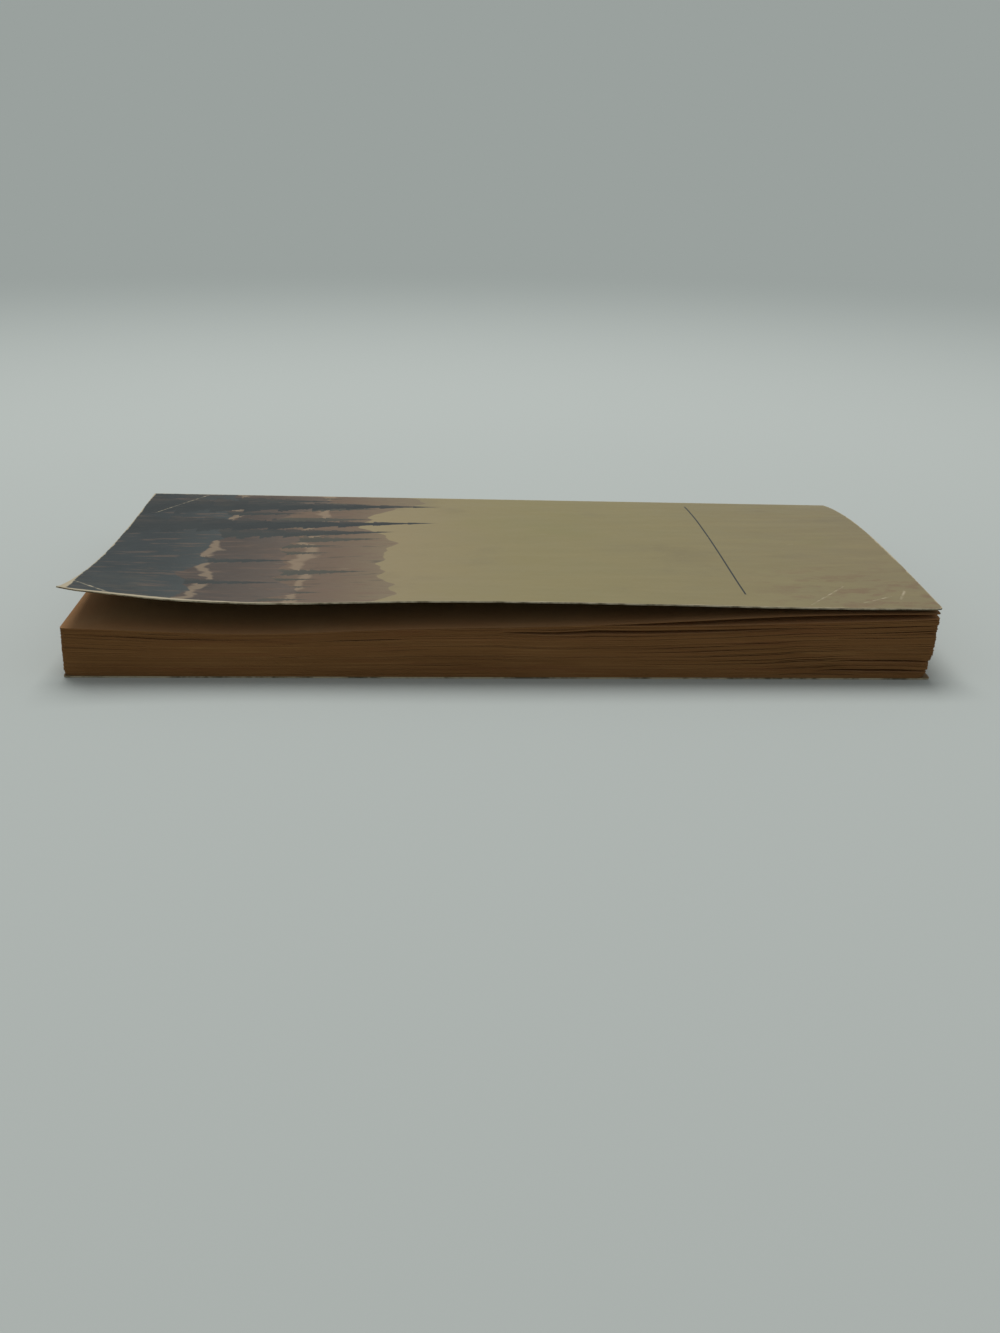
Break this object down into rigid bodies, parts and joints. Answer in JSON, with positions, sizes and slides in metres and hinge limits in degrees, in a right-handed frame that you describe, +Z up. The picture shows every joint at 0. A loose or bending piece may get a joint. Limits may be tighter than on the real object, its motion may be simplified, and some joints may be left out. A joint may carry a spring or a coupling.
{
  "type": "paperback book",
  "caption": "Thin pocket-size paperback lying on its back cover, with browned leaves fanned apart at the fore edge and a front cover curled up at the foot.",
  "frame": {"origin": "middle of the book's footprint, on the surface that its back cover rests on", "axes": "+X from the book's foot to its head, +Y from the fore edge to the spine, +Z up through the front cover"},
  "size_m": [0.175, 0.106, 0.0186],
  "materials": {
    "page_paper": "uncoated, browned with age",
    "cover_card": "coated card, semi-gloss, printed and worn",
    "binding_glue": "satin"
  },
  "bodies": {
    "block": {"text_block": "page_paper", "spine_glue": "binding_glue", "spine_panel": "cover_card"},
    "front_cover": {"front_cover": "cover_card"},
    "back_cover": {"back_cover": "cover_card"}
  },
  "joints": [
    {"name": "front_cover_hinge", "type": "hinge", "parent": "block", "child": "front_cover", "pos_m": [0, 0.053, 0.01079], "axis": [-0.9999, 0, 0.0131], "range_deg": [0, 180]},
    {"name": "back_cover_hinge", "type": "hinge", "parent": "block", "child": "back_cover", "pos_m": [0, 0.053, 0], "axis": [1, 0, 0], "range_deg": [0, 180]}
  ]
}
